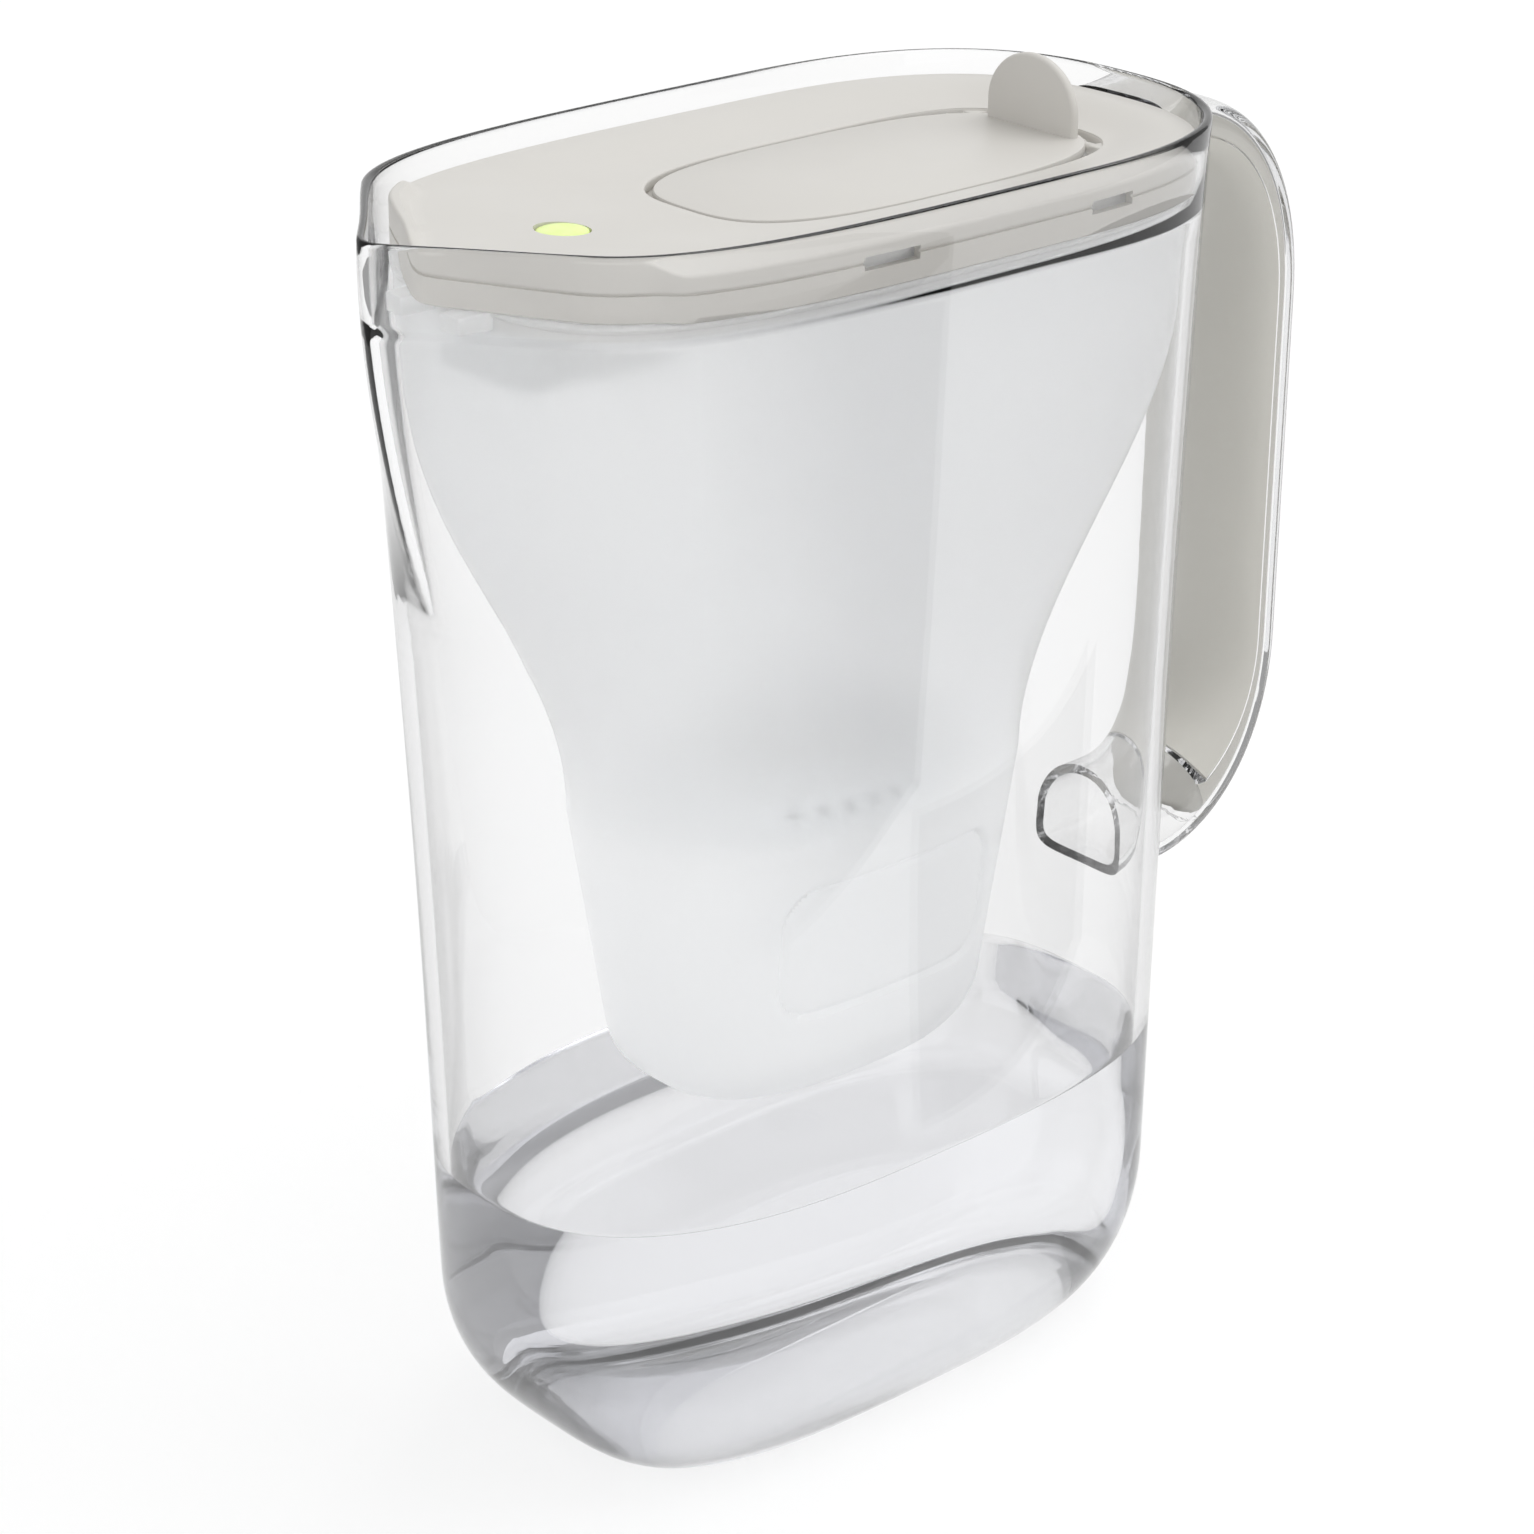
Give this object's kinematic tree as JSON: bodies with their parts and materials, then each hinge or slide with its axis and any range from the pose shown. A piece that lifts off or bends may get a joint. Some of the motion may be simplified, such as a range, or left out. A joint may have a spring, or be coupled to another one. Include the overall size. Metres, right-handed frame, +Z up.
{
  "type": "water filter pitcher with flip lid",
  "caption": "Slim clear jug with pinched spout and D handle, lift-out translucent hopper with filter cartridge, and a grey lid with hinged filler flap and push-button change indicator.",
  "frame": {"origin": "on the flat underside of the jug, on its middle plane, below the front half of the filler flap", "axes": "+Z up, +X from the spout towards the handle, Y across the jug"},
  "size_m": [0.2483, 0.104, 0.2849],
  "materials": {
    "clear_jug": "clear colourless, polished",
    "milky_clear": "translucent light grey, polished",
    "warm_grey": "fine satin texture",
    "grip_grey": "soft satin, as seen through the clear channel",
    "module_grey": "satin",
    "seal_black": "matt",
    "steel": "bright",
    "board_green": "solder resist",
    "led_lens": "clear yellowish lens",
    "switch_black": "satin",
    "contact_nickel": "plated",
    "button_lime": "translucent, softly frosted",
    "silicone": "matt",
    "cartridge_white": "satin",
    "cap_clear": "frosted clear",
    "seal_grey": "soft, matt",
    "screen_mesh": "fine woven mesh",
    "carbon_grain": "granular"
  },
  "bodies": {
    "jug": {"jug_body": "clear_jug", "handle_grip": "grip_grey"},
    "hopper": {"hopper_cup": "milky_clear", "hopper_funnel": "milky_clear", "hopper_rim": "milky_clear"},
    "lid": {"lid_shell": "warm_grey", "indicator_housing": "module_grey", "indicator_cover": "module_grey", "cover_seal": "seal_black", "cover_screws": "steel", "circuit_board": "board_green", "led": "led_lens", "tact_switch": "switch_black", "coin_cell": "steel", "battery_clips": "contact_nickel", "button_membrane": "silicone"},
    "flap": {"flap": "warm_grey"},
    "button": {"indicator_button": "button_lime"},
    "cartridge": {"cartridge_shell": "cartridge_white", "cartridge_cap": "cap_clear", "cartridge_seal": "seal_grey", "top_screen": "screen_mesh", "base_screen": "screen_mesh", "filter_media": "carbon_grain"}
  },
  "joints": [
    {"name": "hopper_lift", "type": "slide", "parent": "jug", "child": "hopper", "axis": [0, 0, 1], "range_m": [0, 0.21]},
    {"name": "lid_lift", "type": "slide", "parent": "hopper", "child": "lid", "axis": [0, 0, 1], "range_m": [0, 0.06]},
    {"name": "cartridge_pull", "type": "slide", "parent": "hopper", "child": "cartridge", "axis": [0, 0, 1], "range_m": [0, 0.07]},
    {"name": "flap_hinge", "type": "hinge", "parent": "lid", "child": "flap", "pos_m": [0.0672, 0, 0.267], "axis": [0, 1, 0], "range_deg": [0, 62]},
    {"name": "button_press", "type": "slide", "parent": "lid", "child": "button", "axis": [0, 0, -1], "range_m": [0, 0.0008], "stiffness_N_per_m": 600, "deforming": ["button_membrane"]}
  ]
}
